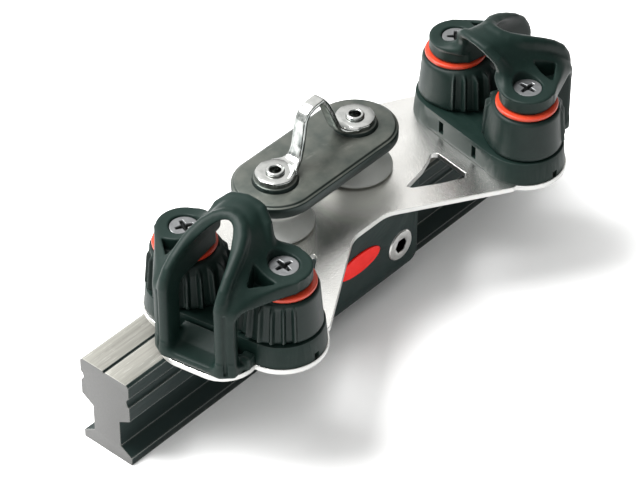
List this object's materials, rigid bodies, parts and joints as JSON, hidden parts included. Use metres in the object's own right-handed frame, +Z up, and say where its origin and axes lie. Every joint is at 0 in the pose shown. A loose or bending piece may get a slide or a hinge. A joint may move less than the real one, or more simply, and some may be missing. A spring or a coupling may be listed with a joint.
{
  "type": "mainsheet traveller car with cam cleats",
  "caption": "Traveller car on a length of I-beam rail, with cam cleats and arched fairleads on a steel plate, control sheaves under a cheek plate and an eye strap.",
  "frame": {"origin": "middle of the rail's underside, below the point midway between the two rivets, with the car at mid travel", "axes": "+X along the rail, +Y to the side away from the cleats' overhang, +Z up from the deck"},
  "size_m": [0.21, 0.0785, 0.0947],
  "materials": {
    "rail_alloy": "anodised satin",
    "car_black": "black anodised satin",
    "black_moulding": "moulded, slightly satin",
    "cam_black": "moulded carbon-filled nylon",
    "red_ring": "moulded",
    "badge_red": "domed gloss",
    "steel_plate": "fine satin",
    "steel_polished": "polished",
    "screw_steel": "plain",
    "ball_steel": "bright",
    "spring_steel": "drawn wire",
    "cheek_grey": "grey anodised satin",
    "sheave_acetal": "natural acetal",
    "bush_bronze": "plain",
    "post_alloy": "machined"
  },
  "bodies": {
    "track": {"track_rail": "rail_alloy"},
    "car": {"car_body": "car_black", "end_block_left": "black_moulding", "end_block_right": "black_moulding", "car_balls_near": "ball_steel", "car_balls_far": "ball_steel", "side_screws_near": "screw_steel", "side_screws_far": "screw_steel", "badge_near": "badge_red", "badge_far": "badge_red", "mounting_plate": "steel_plate", "sheave_bush_left": "bush_bronze", "sheave_bush_right": "bush_bronze", "cheek_plate": "cheek_grey", "eye_strap": "steel_polished", "rivet_left": "steel_polished", "rivet_right": "steel_polished", "cleat_base_left": "black_moulding", "cam_posts_left": "post_alloy", "fairlead_left": "black_moulding", "cleat_screws_left": "screw_steel", "cleat_nuts_left": "screw_steel", "cleat_base_right": "black_moulding", "cam_posts_right": "post_alloy", "fairlead_right": "black_moulding", "cleat_screws_right": "screw_steel", "cleat_nuts_right": "screw_steel", "cam_balls_near_left": "ball_steel", "cam_spring_near_left": "spring_steel", "cam_balls_far_left": "ball_steel", "cam_spring_far_left": "spring_steel", "cam_balls_near_right": "ball_steel", "cam_spring_near_right": "spring_steel", "cam_balls_far_right": "ball_steel", "cam_spring_far_right": "spring_steel"},
    "sheave_left": {"sheave_left": "sheave_acetal"},
    "sheave_right": {"sheave_right": "sheave_acetal"},
    "cam_near_left": {"cam_near_left": "cam_black", "wear_ring_near_left": "red_ring"},
    "cam_far_left": {"cam_far_left": "cam_black", "wear_ring_far_left": "red_ring"},
    "cam_near_right": {"cam_near_right": "cam_black", "wear_ring_near_right": "red_ring"},
    "cam_far_right": {"cam_far_right": "cam_black", "wear_ring_far_right": "red_ring"}
  },
  "joints": [
    {"name": "car_slide", "type": "slide", "parent": "track", "child": "car", "axis": [1, 0, 0], "range_m": [-0.07, 0.07]},
    {"name": "sheave_spin_left", "type": "hinge", "parent": "car", "child": "sheave_left", "pos_m": [-0.0205, 0, 0.0537], "axis": [0, 0, 1], "continuous": true},
    {"name": "sheave_spin_right", "type": "hinge", "parent": "car", "child": "sheave_right", "pos_m": [0.0205, 0, 0.0537], "axis": [0, 0, 1], "continuous": true},
    {"name": "cam_near_left_open", "type": "hinge", "parent": "car", "child": "cam_near_left", "pos_m": [-0.0626, -0.04189, 0.07], "axis": [0, 0, 1], "range_deg": [0, 50], "stiffness_Nm_per_rad": 0.03, "springref_deg": -20.05},
    {"name": "cam_far_left_open", "type": "hinge", "parent": "car", "child": "cam_far_left", "pos_m": [-0.0694, -0.00451, 0.07], "axis": [0, 0, -1], "range_deg": [0, 50], "stiffness_Nm_per_rad": 0.03, "springref_deg": -20.05},
    {"name": "cam_near_right_open", "type": "hinge", "parent": "car", "child": "cam_near_right", "pos_m": [0.0626, -0.04189, 0.07], "axis": [0, 0, -1], "range_deg": [0, 50], "stiffness_Nm_per_rad": 0.03, "springref_deg": -20.05},
    {"name": "cam_far_right_open", "type": "hinge", "parent": "car", "child": "cam_far_right", "pos_m": [0.0694, -0.00451, 0.07], "axis": [0, 0, 1], "range_deg": [0, 50], "stiffness_Nm_per_rad": 0.03, "springref_deg": -20.05}
  ]
}
